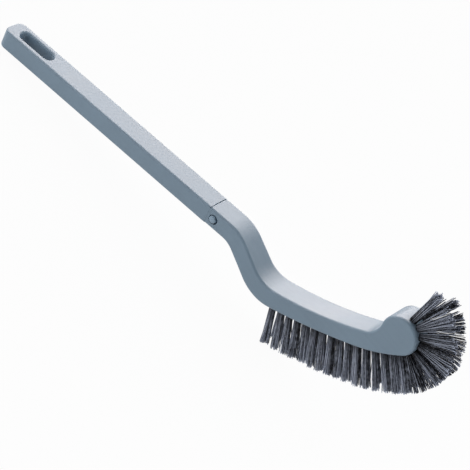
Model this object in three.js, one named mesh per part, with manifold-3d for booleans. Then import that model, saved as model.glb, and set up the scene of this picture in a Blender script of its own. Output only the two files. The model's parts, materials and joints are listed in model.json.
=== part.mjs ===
// Toilet brush in millimetres: a straight handle plugged into a goose-neck head and held by a snap button.
// It is drawn with x along the handle towards the head, y to the left, z away from the bristles and
// the origin on the back of the seam. The last lines lay it down on its heel bristles and handle end.

import * as THREE from 'three';
import { TessellateModifier } from 'three/addons/modifiers/TessellateModifier.js';
import { mergeGeometries, mergeVertices } from 'three/addons/utils/BufferGeometryUtils.js';
import Module from 'manifold-3d';

const wasm = await Module();
wasm.setup();

// Fits and fineness
const GAP = 0.3;
const CUT_OVERRUN = 1;
const ARC_STEP = 7;
const ARC_RUN = 12;
const ROUND_STEPS = 3;

// Section shared by the handle and the head
const WIDTH = 17.6;
const DEPTH = 12.8;
const EDGE_ROUND = 2;
const MIDDLE_Z = -DEPTH / 2;

// Handle with its hang slot
const HANDLE_LENGTH = 186;
const HANDLE_END_ROUND = 5.5;
const SLOT_LENGTH = 27;
const SLOT_WIDTH = 10;
const SLOT_FROM_END = 9;
const SLOT_CHAMFER = 0.6;
const SLOT_ARC_STEPS = 7;

// Hollow plug on the handle and the socket that takes it
const SOCKET_WIDTH = 13.6;
const SOCKET_DEPTH = 9;
const PLUG_LENGTH = 20;
const PLUG_WALL = 1.4;
const PLUG_CORNER = 1.2;
const CORE_CORNER = 0.5;
const CORE_LENGTH_IN_HANDLE = 140;

// Snap button, the holes that it stands in and the spring clip behind it
const BUTTON_X = 4.7;
const BUTTON_RADIUS = 2.5;
const BUTTON_PROUD = 0.8;
const BUTTON_DOME = 0.6;
const BUTTON_SIDES = 20;
const FLANGE_LENGTH = 9;
const FLANGE_HEIGHT = 4.8;
const FLANGE_THICKNESS = 1;
const PLUG_HOLE_RADIUS = 2.85;
const HEAD_HOLE_RADIUS = 3.3;
const HEAD_HOLE_X = 5;
const CLIP_STRIP = 0.5;
const CLIP_HEIGHT = 4.6;
const CLIP_START_X = 2;
const CLIP_LEG = 13;
const CLIP_BEND_RADIUS = 1.5;

// Head side view: the back edge and the bristle edge as straight and round stretches, turns in degrees
const NECK_DROP = 35;
const BACK_EDGE = [
  { length: 16 },
  { radius: 29, turn: -NECK_DROP },
  { length: 14.9 },
  { radius: 23, turn: NECK_DROP + 12.5 },
];
const BACK_BED_RADIUS = 260;
const BRISTLE_EDGE = [
  { length: 15.5 },
  { radius: 15, turn: -NECK_DROP },
  { length: 18.3 },
  { radius: 30, turn: NECK_DROP + 15.5 },
  { radius: 470, turn: 8 },
  { radius: 125, turn: 16.5 },
];
const NECK_STRETCHES = 4;
const KNOB_RADIUS = 13;
const KNOB_FILLET = 15;

// The head widens down the neck, between two values of x, to the width of the bed
const BED_WIDTH = 20;
const FLARE_START = 28;
const FLARE_END = 68;
const FLARE_STEP = 8;
const FLARE_SPLITS = 8;

// Bristle backing strips and the channel that they lie in
const STRIP_DEPTH = 2;
const STRIP_WIDTH = 14.4;
const STRIP_STEP = 6;
const BACKING_END_MARGIN = 4;

// Tufts in a left and a right row along the bed and round the knob
const ROW_OFFSET = 4.7;
const BED_TUFTS = { right: 16, left: 15 };
const BED_PITCH = 6.42;
const FIRST_TUFT = { right: 1.35, left: 2.35 };
const FAN_TUFTS = 6;
const FAN_PITCH = 25;
const FAN_START = { right: -44, left: -53 };
const HEEL_LEAN = 3;
const HEEL_LEAN_ROWS = 2;

// Bristle lengths: even along the bed, shorter at its end, and round the knob cut to a circle set back from it;
// the first tuft of either side is cut level with the other side's, as the brush lies on both
const BRISTLE_LENGTH = 29;
const HEEL_TRIM = { right: 0.45, left: 0 };
const TAPER_TUFTS = 4;
const TAPER_STEP = 0.65;
const TRIM_RADIUS = 43.2;
const TRIM_OFFSET = new THREE.Vector2(-4.5, 1.6);

// Strands of one tuft
const STRANDS_ON_RING = 7;
const STRAND_RING_RADIUS = 1.4;
const STRAND_ROOT_RADIUS = 0.5;
const STRAND_TIP_RADIUS = 0.36;
const STRAND_SIDES = 3;
const STRAND_SINK = 0.8;
const TUFT_SPREAD = 1.5;
const FAN_SPREAD = 2.7;
const LENGTH_VARIATION = 0.035;

// Flat wire anchor that holds a tuft, and its pocket
const ANCHOR_LENGTH = 3.8;
const ANCHOR_HEIGHT = 1.8;
const ANCHOR_THICKNESS = 0.5;

// Finishes
const plastic = new THREE.MeshStandardMaterial({ color: '#8f9ca9', roughness: 0.45, metalness: 0 });
const nylon = new THREE.MeshStandardMaterial({ color: '#3b3d44', roughness: 0.55, metalness: 0 });
const steel = new THREE.MeshStandardMaterial({ color: '#b4b8bc', roughness: 0.35, metalness: 1 });

const radians = THREE.MathUtils.degToRad;

// Closed geometry to a solid that can be joined and cut, and back
function solid(geometry) {
  const bare = geometry.clone();
  bare.deleteAttribute('normal');
  bare.deleteAttribute('uv');
  const merged = mergeVertices(bare);
  return new wasm.Manifold(new wasm.Mesh({
    numProp: 3,
    vertProperties: new Float32Array(merged.attributes.position.array),
    triVerts: new Uint32Array(merged.index.array),
  }));
}

function piece(name, shape, material) {
  const { vertProperties, triVerts } = shape.getMesh();
  const geometry = new THREE.BufferGeometry();
  geometry.setAttribute('position', new THREE.BufferAttribute(vertProperties, 3));
  geometry.setIndex(new THREE.BufferAttribute(triVerts, 1));
  geometry.computeVertexNormals();
  const mesh = new THREE.Mesh(geometry, material);
  mesh.name = name;
  return mesh;
}

function box(low, high) {
  const size = high.map((value, i) => value - low[i]);
  const middle = high.map((value, i) => (value + low[i]) / 2);
  return solid(new THREE.BoxGeometry(...size).translate(...middle));
}

// Extrudes an outline in x and z across the brush, centred, with round edges where asked
function extrudeAcross(outline, width, round = 0) {
  const depth = width - 2 * round;
  const geometry = new THREE.ExtrudeGeometry(outline, {
    depth,
    bevelEnabled: round > 0,
    bevelThickness: round,
    bevelSize: round,
    bevelOffset: -round,
    bevelSegments: ROUND_STEPS,
  });
  return geometry.translate(0, 0, -depth / 2).rotateX(Math.PI / 2);
}

// Splits a shape drawn at the handle's width finely and widens it to the width of the head at each corner
function flare(geometry) {
  const split = new TessellateModifier(FLARE_STEP, FLARE_SPLITS).modify(geometry);
  const corners = split.attributes.position;
  for (let i = 0; i < corners.count; i += 1) {
    corners.setY(i, corners.getY(i) * widthAt(corners.getX(i)) / WIDTH);
  }
  return split;
}

// Extrudes a centred rounded section along the handle, between two values of x
function along(width, height, corner, start, end) {
  const outline = new THREE.Shape();
  const right = width / 2 - corner;
  const top = height / 2 - corner;
  outline.absarc(right, top, corner, 0, Math.PI / 2);
  outline.absarc(-right, top, corner, Math.PI / 2, Math.PI);
  outline.absarc(-right, -top, corner, Math.PI, Math.PI * 1.5);
  outline.absarc(right, -top, corner, Math.PI * 1.5, Math.PI * 2);
  const geometry = new THREE.ExtrudeGeometry(outline, {
    depth: end - start,
    bevelEnabled: false,
    curveSegments: ROUND_STEPS,
  });
  const turn = new THREE.Matrix4().makeBasis(
    new THREE.Vector3(0, 1, 0),
    new THREE.Vector3(0, 0, 1),
    new THREE.Vector3(1, 0, 0),
  );
  return solid(geometry.applyMatrix4(turn).translate(start, 0, MIDDLE_Z));
}

// A round hole from the right side face inwards
function sideHole(x, radius, inner) {
  const outer = -WIDTH / 2 - CUT_OVERRUN;
  const hole = new THREE.CylinderGeometry(radius, radius, inner - outer, BUTTON_SIDES);
  return solid(hole.translate(x, (inner + outer) / 2, MIDDLE_Z));
}

// A track is a line of straight and round stretches in x and z, read by the distance along it
function makeTrack(x, z, heading, stretches) {
  const track = { stretches: [], length: 0 };
  let place = { x, z, heading };
  for (const { length, radius, turn = 0 } of stretches) {
    const run = length ?? radius * Math.abs(radians(turn));
    const stretch = { start: track.length, run, turn: radians(turn), ...place };
    track.stretches.push(stretch);
    track.length += run;
    place = endOf(stretch, run);
  }
  track.end = place;
  return track;
}

function endOf(stretch, distance) {
  const turned = stretch.turn * distance / stretch.run;
  const chord = turned === 0 ? distance : distance * Math.sin(turned / 2) / (turned / 2);
  const aim = stretch.heading + turned / 2;
  return {
    x: stretch.x + chord * Math.cos(aim),
    z: stretch.z + chord * Math.sin(aim),
    heading: stretch.heading + turned,
  };
}

function placeOn(track, distance) {
  const stretch = track.stretches.findLast((each) => each.start <= distance) ?? track.stretches[0];
  return endOf(stretch, distance - stretch.start);
}

// The point beside a place, to the left of its heading
function beside({ x, z, heading }, offset) {
  return new THREE.Vector2(x - offset * Math.sin(heading), z + offset * Math.cos(heading));
}

// Number of flats that stand for a round stretch
function arcSteps(turn, run) {
  return Math.max(1, Math.ceil(Math.abs(turn) / radians(ARC_STEP)), Math.ceil(run / ARC_RUN));
}

// Corner points along a whole track, with an even step on the round stretches
function cornersOf(track, offset = 0) {
  const corners = [];
  for (const stretch of track.stretches) {
    const steps = stretch.turn === 0 ? 1 : arcSteps(stretch.turn, stretch.run);
    for (let i = 0; i < steps; i += 1) {
      corners.push(beside(endOf(stretch, stretch.run * i / steps), offset));
    }
  }
  corners.push(beside(track.end, offset));
  return corners;
}

// Corner points of a circle from one angle to another, the ends included
function arc(centre, radius, from, to) {
  const steps = arcSteps(to - from, Math.abs(to - from) * radius);
  const corners = [];
  for (let i = 0; i <= steps; i += 1) {
    const angle = from + (to - from) * i / steps;
    corners.push(new THREE.Vector2(Math.cos(angle), Math.sin(angle)).multiplyScalar(radius).add(centre));
  }
  return corners;
}

function angleBetween(from, to) {
  return Math.atan2(to.y - from.y, to.x - from.x);
}

// The crossing of two circles that lies to the left of the way from the first to the second
function crossing(first, firstRadius, second, secondRadius) {
  const way = second.clone().sub(first);
  const distance = way.length();
  const forward = (distance ** 2 + firstRadius ** 2 - secondRadius ** 2) / (2 * distance);
  const aside = Math.sqrt(firstRadius ** 2 - forward ** 2);
  way.normalize();
  const left = new THREE.Vector2(-way.y, way.x);
  return first.clone().addScaledVector(way, forward).addScaledVector(left, aside);
}

// The bristle edge runs on round the knob, which is the end of the head
const seamStart = -EDGE_ROUND - CUT_OVERRUN;
const bristleEdge = makeTrack(seamStart, -DEPTH, 0, [{ length: -seamStart }, ...BRISTLE_EDGE]);
const knobCentre = beside(bristleEdge.end, KNOB_RADIUS);
const bedStart = bristleEdge.stretches[NECK_STRETCHES + 1].start;
const fanEnd = FAN_START.right + FAN_PITCH * (FAN_TUFTS - 1);
const knobTurn = fanEnd + 90 - THREE.MathUtils.radToDeg(bristleEdge.end.heading);
const backing = makeTrack(seamStart, -DEPTH, 0, [
  { length: -seamStart },
  ...BRISTLE_EDGE,
  { radius: KNOB_RADIUS, turn: knobTurn + THREE.MathUtils.radToDeg(BACKING_END_MARGIN / KNOB_RADIUS) },
]);

function headOutline() {
  const back = makeTrack(seamStart, 0, 0, [{ length: -seamStart }, ...BACK_EDGE]);
  const bedCentre = beside(back.end, BACK_BED_RADIUS);
  const fillet = crossing(knobCentre, KNOB_RADIUS + KNOB_FILLET, bedCentre, BACK_BED_RADIUS - KNOB_FILLET);
  const fromBed = angleBetween(bedCentre, fillet);
  const toKnob = angleBetween(fillet, knobCentre);
  const knobFrom = toKnob + Math.PI;
  const knobTo = bristleEdge.end.heading - Math.PI / 2;
  return new THREE.Shape([
    ...cornersOf(back).slice(0, -1),
    ...arc(bedCentre, BACK_BED_RADIUS, back.end.heading - Math.PI / 2, fromBed).slice(0, -1),
    ...arc(fillet, KNOB_FILLET, fromBed, toKnob).slice(0, -1),
    ...arc(knobCentre, KNOB_RADIUS, knobFrom, knobTo).slice(0, -1),
    ...cornersOf(bristleEdge).reverse(),
  ]);
}

// Width of the head at a value of x
function widthAt(x) {
  return WIDTH + (BED_WIDTH - WIDTH) * THREE.MathUtils.smoothstep(x, FLARE_START, FLARE_END);
}

// A band of the head between two depths under the bristle edge, from one distance along it to another
function backingBand(from, to, low, high, width, middle) {
  const steps = Math.max(1, Math.round((to - from) / STRIP_STEP));
  const outer = [];
  const inner = [];
  for (let i = 0; i <= steps; i += 1) {
    const place = placeOn(backing, from + (to - from) * i / steps);
    outer.push(beside(place, low));
    inner.unshift(beside(place, high));
  }
  return solid(extrudeAcross(new THREE.Shape([...outer, ...inner]), width).translate(0, middle, 0));
}

// Length of a bristle of the fan, from the knob out to the circle that the fan is cut to
function fanLength(angle) {
  const out = new THREE.Vector2(Math.cos(angle), Math.sin(angle));
  const root = out.clone().multiplyScalar(KNOB_RADIUS).sub(TRIM_OFFSET);
  const along = root.dot(out);
  return Math.sqrt(along ** 2 - root.lengthSq() + TRIM_RADIUS ** 2) - along;
}

// Places of the tufts of one side, the bed first and then the fan
function tuftPlaces(side) {
  const bed = [];
  for (let i = 0; i < BED_TUFTS[side]; i += 1) {
    const distance = bedStart + FIRST_TUFT[side] + i * BED_PITCH;
    const lean = HEEL_LEAN * Math.max(0, 1 - i / HEEL_LEAN_ROWS);
    const taper = TAPER_STEP * Math.max(0, i + 1 + TAPER_TUFTS - BED_TUFTS.right);
    const trim = i === 0 ? HEEL_TRIM[side] : taper;
    bed.push({ distance, lean, length: BRISTLE_LENGTH - trim, spread: TUFT_SPREAD });
  }
  const knobStart = bristleEdge.end.heading - Math.PI / 2;
  const fan = [];
  for (let i = 0; i < FAN_TUFTS; i += 1) {
    const angle = radians(FAN_START[side] + i * FAN_PITCH);
    const distance = bristleEdge.length + (angle - knobStart) * KNOB_RADIUS;
    fan.push({ distance, lean: 0, length: fanLength(angle), spread: FAN_SPREAD });
  }
  return { bed, fan };
}

// Directions at a tuft: along the row, across the brush and out of the backing
function tuftFrame(distance, y) {
  const { x, z, heading } = placeOn(backing, distance);
  return {
    root: new THREE.Vector3(x, y, z),
    row: new THREE.Vector3(Math.cos(heading), 0, Math.sin(heading)),
    side: new THREE.Vector3(0, 1, 0),
    out: new THREE.Vector3(Math.sin(heading), 0, -Math.cos(heading)),
  };
}

function strand(from, to) {
  const way = to.clone().sub(from);
  const length = way.length();
  const geometry = new THREE.CylinderGeometry(STRAND_TIP_RADIUS, STRAND_ROOT_RADIUS, length, STRAND_SIDES);
  const turn = new THREE.Quaternion().setFromUnitVectors(new THREE.Vector3(0, 1, 0), way.normalize());
  const middle = from.clone().add(to).multiplyScalar(0.5);
  return geometry.applyQuaternion(turn).translate(middle.x, middle.y, middle.z);
}

// One tuft: a ring of strands round a middle one, opening towards the tips, along the row by its own spread
function tuft({ distance, lean, length, spread }, y) {
  const { root, row, side, out } = tuftFrame(distance, y);
  const aim = out.clone().addScaledVector(row, -Math.tan(radians(lean))).normalize();
  const strands = [];
  for (let i = 0; i <= STRANDS_ON_RING; i += 1) {
    const ring = i === STRANDS_ON_RING ? 0 : STRAND_RING_RADIUS;
    const angle = 2 * Math.PI * i / STRANDS_ON_RING;
    const ahead = ring * Math.cos(angle);
    const aside = Math.sign(y) * ring * Math.sin(angle);
    const shortening = LENGTH_VARIATION * ((i * 3) % STRANDS_ON_RING) / STRANDS_ON_RING;
    const from = root.clone().addScaledVector(row, ahead).addScaledVector(side, aside);
    const to = root.clone().addScaledVector(row, ahead * spread).addScaledVector(side, aside * TUFT_SPREAD);
    from.addScaledVector(out, -STRAND_SINK);
    to.addScaledVector(aim, length * (1 - shortening));
    strands.push(strand(from, to));
  }
  return strands;
}

// A row of tufts fused to its strip of backing
function bristleRow(name, tufts, from, to, y) {
  const width = STRIP_WIDTH / 2 - GAP / 2;
  const middle = Math.sign(y) * (GAP / 2 + width / 2);
  const strip = backingBand(from, to, 0, STRIP_DEPTH, width, middle);
  const strands = mergeGeometries(tufts.flatMap((each) => tuft(each, y)));
  return piece(name, strip.add(solid(strands)), nylon);
}

// A block at a tuft, set behind its backing strip: the anchor, or with a margin its pocket
function anchorBlock(distance, y, margin, rise) {
  const { root, row, side, out } = tuftFrame(distance, y);
  const height = ANCHOR_HEIGHT + margin + rise;
  const geometry = new THREE.BoxGeometry(ANCHOR_THICKNESS + 2 * margin, ANCHOR_LENGTH + 2 * margin, height);
  const deep = STRIP_DEPTH + 2 * GAP + ANCHOR_HEIGHT + margin - height / 2;
  const turn = new THREE.Matrix4().makeBasis(row, side, out.clone().negate());
  const centre = root.clone().addScaledVector(out, -deep);
  return solid(geometry.applyMatrix4(turn.setPosition(centre)));
}

// Handle: a rounded bar with the hang slot, its hollow plug and the button's hole through the plug
function makeHandle() {
  const plan = new THREE.Shape();
  const end = HANDLE_END_ROUND - HANDLE_LENGTH;
  const half = WIDTH / 2;
  const bevelRun = EDGE_ROUND + CUT_OVERRUN;
  plan.moveTo(bevelRun, -half);
  plan.lineTo(bevelRun, half);
  plan.absarc(end, half - HANDLE_END_ROUND, HANDLE_END_ROUND, Math.PI / 2, Math.PI);
  plan.absarc(end, HANDLE_END_ROUND - half, HANDLE_END_ROUND, Math.PI, Math.PI * 1.5);
  const bar = new THREE.ExtrudeGeometry(plan, {
    depth: DEPTH - 2 * EDGE_ROUND,
    bevelThickness: EDGE_ROUND,
    bevelSize: EDGE_ROUND,
    bevelOffset: -EDGE_ROUND,
    bevelSegments: ROUND_STEPS,
    curveSegments: ROUND_STEPS,
  });
  const plugWidth = SOCKET_WIDTH - 2 * GAP;
  const plugHeight = SOCKET_DEPTH - 2 * GAP;
  const coreWidth = plugWidth - 2 * PLUG_WALL;
  const coreHeight = plugHeight - 2 * PLUG_WALL;
  const coreEnd = PLUG_LENGTH + CUT_OVERRUN;
  return solid(bar.translate(0, 0, EDGE_ROUND - DEPTH))
    .subtract(box([0, -WIDTH, -2 * DEPTH], [WIDTH, WIDTH, DEPTH]))
    .add(along(plugWidth, plugHeight, PLUG_CORNER, -CUT_OVERRUN, PLUG_LENGTH))
    .subtract(along(coreWidth, coreHeight, CORE_CORNER, -CORE_LENGTH_IN_HANDLE, coreEnd))
    .subtract(sideHole(BUTTON_X, PLUG_HOLE_RADIUS, 0))
    .subtract(slotCutter());
}

// Hang slot: a long hole with round ends and a small chamfer at both faces
function slotCutter() {
  const radius = SLOT_WIDTH / 2;
  const first = SLOT_FROM_END - HANDLE_LENGTH + radius;
  const last = first + SLOT_LENGTH - SLOT_WIDTH;
  const plan = new THREE.Shape();
  plan.absarc(last, 0, radius, -Math.PI / 2, Math.PI / 2);
  plan.absarc(first, 0, radius, Math.PI / 2, Math.PI * 1.5);
  const through = new THREE.ExtrudeGeometry(plan, {
    depth: DEPTH + 2 * CUT_OVERRUN,
    bevelEnabled: false,
    curveSegments: SLOT_ARC_STEPS,
  });
  const rim = new THREE.ExtrudeGeometry(plan, {
    depth: CUT_OVERRUN,
    bevelThickness: SLOT_CHAMFER,
    bevelSize: SLOT_CHAMFER,
    bevelSegments: 1,
    curveSegments: SLOT_ARC_STEPS,
  });
  const lowRim = rim.clone().translate(0, 0, -DEPTH - CUT_OVERRUN);
  return solid(through.translate(0, 0, -DEPTH - CUT_OVERRUN)).add(solid(rim)).add(solid(lowRim));
}

// Head: goose neck, bristle bed and knob, with the socket, the button's hole and the bristle channel
function makeHead(tuftsBySide) {
  const channelStart = bedStart - BACKING_END_MARGIN;
  let head = solid(flare(extrudeAcross(headOutline(), WIDTH, EDGE_ROUND)))
    .subtract(box([-WIDTH, -WIDTH, -2 * DEPTH], [GAP, WIDTH, DEPTH]))
    .subtract(along(SOCKET_WIDTH, SOCKET_DEPTH, PLUG_CORNER, -WIDTH, PLUG_LENGTH + 2 * GAP))
    .subtract(sideHole(HEAD_HOLE_X, HEAD_HOLE_RADIUS, 0))
    .subtract(backingBand(
      channelStart, backing.length, -CUT_OVERRUN, STRIP_DEPTH + GAP, STRIP_WIDTH + 2 * GAP, 0,
    ));
  for (const { y, bed, fan } of tuftsBySide) {
    for (const { distance } of [...bed, ...fan]) {
      head = head.subtract(anchorBlock(distance, y, GAP, CUT_OVERRUN));
    }
  }
  return head;
}

// Snap button: a domed barrel on a flange that stays inside the plug
function makeButton() {
  const face = -WIDTH / 2 - BUTTON_PROUD;
  const back = GAP + PLUG_WALL + GAP + FLANGE_THICKNESS - SOCKET_WIDTH / 2;
  const profile = [
    new THREE.Vector2(0, face),
    new THREE.Vector2(BUTTON_RADIUS - 2 * BUTTON_DOME, face + BUTTON_DOME / 4),
    new THREE.Vector2(BUTTON_RADIUS, face + BUTTON_DOME),
    new THREE.Vector2(BUTTON_RADIUS, back),
    new THREE.Vector2(0, back),
  ];
  const barrel = new THREE.LatheGeometry(profile, BUTTON_SIDES).translate(BUTTON_X, 0, MIDDLE_Z);
  const half = [FLANGE_LENGTH / 2, FLANGE_HEIGHT / 2];
  const flange = box(
    [BUTTON_X - half[0], back - FLANGE_THICKNESS, MIDDLE_Z - half[1]],
    [BUTTON_X + half[0], back, MIDDLE_Z + half[1]],
  );
  return { shape: solid(barrel).add(flange), back };
}

// Spring clip: a strip bent to a V, one leg behind the button and one on the far wall of the plug
function makeClip(buttonBack) {
  const near = buttonBack + GAP + CLIP_STRIP;
  const far = SOCKET_WIDTH / 2 - GAP - PLUG_WALL - GAP - CLIP_STRIP;
  const rise = (far - near) / 2;
  const reach = Math.hypot(CLIP_LEG, CLIP_BEND_RADIUS);
  const slope = Math.asin(rise / reach) - Math.atan2(CLIP_BEND_RADIUS, CLIP_LEG);
  const line = makeTrack(CLIP_START_X, near, slope, [
    { length: CLIP_LEG },
    { radius: CLIP_BEND_RADIUS, turn: 180 - 2 * THREE.MathUtils.radToDeg(slope) },
    { length: CLIP_LEG },
  ]);
  const half = CLIP_STRIP / 2;
  const outline = new THREE.Shape([...cornersOf(line, -half), ...cornersOf(line, half).reverse()]);
  const strip = new THREE.ExtrudeGeometry(outline, { depth: CLIP_HEIGHT, bevelEnabled: false });
  return solid(strip.translate(0, 0, MIDDLE_Z - CLIP_HEIGHT / 2));
}

// Every piece, in the frame of the seam
const tuftsBySide = ['right', 'left'].map((side) => {
  const y = side === 'left' ? ROW_OFFSET : -ROW_OFFSET;
  return { side, y, ...tuftPlaces(side) };
});
const button = makeButton();
const handle = piece('handle_grip', makeHandle(), plastic);
const brush = new THREE.Group();
brush.add(
  handle,
  piece('snap_button', button.shape, plastic),
  piece('button_spring', makeClip(button.back), steel),
  piece('head_body', makeHead(tuftsBySide), plastic),
);
const bristleRows = [];
for (const { side, y, bed, fan } of tuftsBySide) {
  const join = (bed.at(-1).distance + fan[0].distance) / 2;
  const bedFrom = bedStart - BACKING_END_MARGIN + GAP;
  const fanTo = backing.length - GAP;
  bristleRows.push(bristleRow(`bristles_${side}_bed`, bed, bedFrom, join - GAP / 2, y));
  bristleRows.push(bristleRow(`bristles_${side}_fan`, fan, join + GAP / 2, fanTo, y));
  [...bed, ...fan].forEach(({ distance }, i) => {
    const number = String(i + 1).padStart(2, '0');
    brush.add(piece(`tuft_anchor_${side}_${number}`, anchorBlock(distance, y, 0, 0), steel));
  });
}
brush.add(...bristleRows);

// Lays the brush down: the line from the handle end to the lowest bristle tip becomes level
const restX = EDGE_ROUND - HANDLE_LENGTH;
let pitch = 0;
for (const row of bristleRows) {
  const corners = row.geometry.attributes.position;
  for (let i = 0; i < corners.count; i += 1) {
    pitch = Math.max(pitch, Math.atan2(-DEPTH - corners.getZ(i), corners.getX(i) - restX));
  }
}
brush.rotation.y = -pitch;
const toiletBrush = new THREE.Group();
toiletBrush.add(brush);
const bounds = new THREE.Box3().setFromObject(toiletBrush, true);
const middle = bounds.getCenter(new THREE.Vector3());
brush.position.set(-middle.x, -middle.y, -bounds.min.z);

export default toiletBrush;
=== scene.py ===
"""Looks of a toilet brush: a slate plastic handle and goose-neck head, a snap button and charcoal tufts."""

import json
import math
import random

import bmesh
import bpy
from bpy.props import FloatProperty, FloatVectorProperty, IntProperty, PointerProperty
from mathutils import Matrix, Vector


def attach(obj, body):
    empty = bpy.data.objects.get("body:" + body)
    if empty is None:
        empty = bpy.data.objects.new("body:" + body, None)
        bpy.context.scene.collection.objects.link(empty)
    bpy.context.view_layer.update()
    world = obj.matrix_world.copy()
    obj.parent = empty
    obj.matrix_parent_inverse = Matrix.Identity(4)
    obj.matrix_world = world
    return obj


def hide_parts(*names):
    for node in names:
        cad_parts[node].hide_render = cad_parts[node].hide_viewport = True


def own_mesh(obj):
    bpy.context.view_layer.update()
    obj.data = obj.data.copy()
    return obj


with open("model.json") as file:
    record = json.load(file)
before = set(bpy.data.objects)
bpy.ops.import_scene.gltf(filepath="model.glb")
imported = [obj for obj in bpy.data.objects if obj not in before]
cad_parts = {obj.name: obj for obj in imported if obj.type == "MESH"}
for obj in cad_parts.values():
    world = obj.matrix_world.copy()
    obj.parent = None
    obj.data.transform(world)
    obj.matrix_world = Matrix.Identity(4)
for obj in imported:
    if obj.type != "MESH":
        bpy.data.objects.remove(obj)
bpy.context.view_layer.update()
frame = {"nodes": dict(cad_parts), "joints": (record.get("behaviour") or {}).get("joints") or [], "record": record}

bl_info = {
    "name": "Toilet brush",
    "version": (1, 0, 0),
    "blender": (4, 5, 0),
    "location": "View3D > Sidebar > Toilet Brush",
    "description": "Models and finishes a toilet brush over its packed solids",
    "category": "Object",
}

MM = 0.001
TOUCH = 0.01 * MM
OVERRUN = 1 * MM
PARALLEL = 0.99

# Fineness: steps of rounded edges, sides of round pieces, degrees of a step of the head's outline
ROUND_STEPS = {"end": 8, "back": 12, "low": 4, "head": 10, "slot": 14, "rim": 8, "corner": 4, "fine": 3}
ROUND_SIDES = {"button": 40, "head_hole": 48, "tuft_hole": 20, "strand": 5}
ARC_STEP = {"neck": 3, "back_bed": 0.6, "fillet": 5, "knob": 4, "bristle_bed": 1}
SMOOTH_ANGLE = math.radians(32)
STRAND_SMOOTH_ANGLE = math.radians(80)
NORMAL_WEIGHT = 80

# The joint, in the frame of the seam: x along the handle, y to the left, z away from the bristles
BACK_MOUNT_X = -90 * MM
SEAM_GAP = 0.12 * MM
GROOVE_DEPTH = 0.7 * MM
SOCKET = Vector((20.6, 13.6, 9.0)) * MM
PLUG = Vector((20.0, 13.0, 8.4)) * MM
PLUG_CORNER = 1.2 * MM
PLUG_HOLE = 2.85 * MM
CORE = Vector((160.0, 10.2, 5.6)) * MM
CORE_CORNER = 0.5 * MM
HEAD_HOLE_X = 5 * MM
HEAD_HOLE_EDGE = 0.25 * MM

# The button, with steps outwards and inwards from the middle of its face, and the clip behind it
BUTTON_X = 4.7 * MM
BUTTON_FACE = -9.95 * MM
BUTTON_BACK = -3.8 * MM
BUTTON_DOME = ((0.9, 0.04), (0.7, 0.12), (0.45, 0.18), (0.3, 0.24), (0.2, 0.3), (0.05, 0.25))
BUTTON_BARREL = ((0, 5.02), (-2.6, 0))
FLANGE = Vector((9.0, 1.0, 4.8)) * MM
FLANGE_CORNER = 0.8 * MM
CLIP_NEAR = -3.0 * MM
CLIP_FAR = 4.3 * MM
CLIP_START_X = 2 * MM
CLIP_LEG = 13 * MM
CLIP_BEND = 1.5 * MM
CLIP_HEIGHT = 4.6 * MM
CLIP_STRIP = 0.5 * MM
CLIP_EDGE = 0.08 * MM
CLIP_STEPS = 14

# Side view of the head: lengths in metres and turns in degrees, the seam's gap taken off the first stretch
BACK_EDGE = ((16 * MM, 0, 0), (0, 29 * MM, -35), (14.9 * MM, 0, 0), (0, 23 * MM, 47.5))
BACK_BED_RADIUS = 260 * MM
BRISTLE_EDGE = (
    (15.5 * MM, 0, 0),
    (0, 15 * MM, -35),
    (18.3 * MM, 0, 0),
    (0, 30 * MM, 50.5),
    (0, 470 * MM, 8),
    (0, 125 * MM, 16.5),
)
NECK_STRETCHES = 4

# The head widens down the neck, between two values of x, to the width of the bed
FLARE_START = 28 * MM
FLARE_END = 68 * MM
FLARE_CUTS = 10

# Tufts: a row at either side, along the bed and round the knob, with angles in degrees
ROW_SIDE = {"right": -1, "left": 1}
BED_TUFTS = {"right": 16, "left": 15}
BED_PITCH = 6.42 * MM
FIRST_TUFT = {"right": 1.35 * MM, "left": 2.35 * MM}
FAN_TUFTS = 6
FAN_PITCH = 25
FAN_START = {"right": -44, "left": -53}
LAST_LEAN = {"right": 6, "left": 10}
HEEL_LEAN = 3
HEEL_LEAN_TUFTS = 2
DRILL_TAPER = (0.72, 1.04)
GOLDEN_ANGLE = math.pi * (3 - math.sqrt(5))

# Cuts off the bristles: level at the heel, in steps at the end of the bed, to a circle set back from the knob
HEEL_TRIM = {"right": 0.45 * MM, "left": 0}
TAPER_TUFTS = 4
TAPER_STEP = 0.65 * MM
TRIM_RADIUS = 43.2 * MM
TRIM_OFFSET = Vector((-4.5, 1.6)) * MM

# The stage in the same frame, in metres: the lamps, the sky and the dim part of it round the camera
SOFTBOX = {"way": (0.9, 0.25, 0.35), "distance": 1.0, "size": (0.8, 0.8)}
FILL = {"way": (-0.55, -0.82, 0.1), "distance": 1.0, "size": (1.0, 1.0)}
PANEL = {"way": (-0.62, 0.709, 0.35), "distance": 1.5, "size": (2.6, 3.5)}
PANEL_COLOUR = (1, 0.9, 0.86)
SKY_COLOUR = (0.97, 0.985, 1.0, 1)
FRONT_SKY = (0.45, -0.68, 0.58)
FRONT_SKY_FALL = (0.2, 0.9)
WHITE = (1, 1, 1, 1)
FLOOR_SIZE = 12

# The camera in the same frame, fitted to the photograph
CAMERA_PLACE = Vector((0.584527, -1.313717, 1.076312))
CAMERA_RIGHT = Vector((0.717172, 0.600869, 0.353016))
CAMERA_DOWN = Vector((0.621817, -0.323019, -0.713444))
CAMERA_SENSOR = 36
CAMERA_REACH = 50


def frame_at(place, *axes):
    """A frame with its place and its three axes."""
    made = Matrix(axes).transposed().to_4x4()
    made.translation = place
    return made


def frame_of_seam():
    """Turn and place of the brush as it lies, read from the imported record."""
    pull_off = next(j for j in frame["joints"] if j["name"] == "head_pull_off")
    back = next(m for m in frame["record"]["mounts"] if m["name"] == "handle_back")
    along = Vector(pull_off["axis"]).normalized()
    up = Vector(back["axis"]).normalized()
    return frame_at(Vector(back["pos_m"]) - along * BACK_MOUNT_X, along, up.cross(along), up)


LAY = frame_of_seam()


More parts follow.
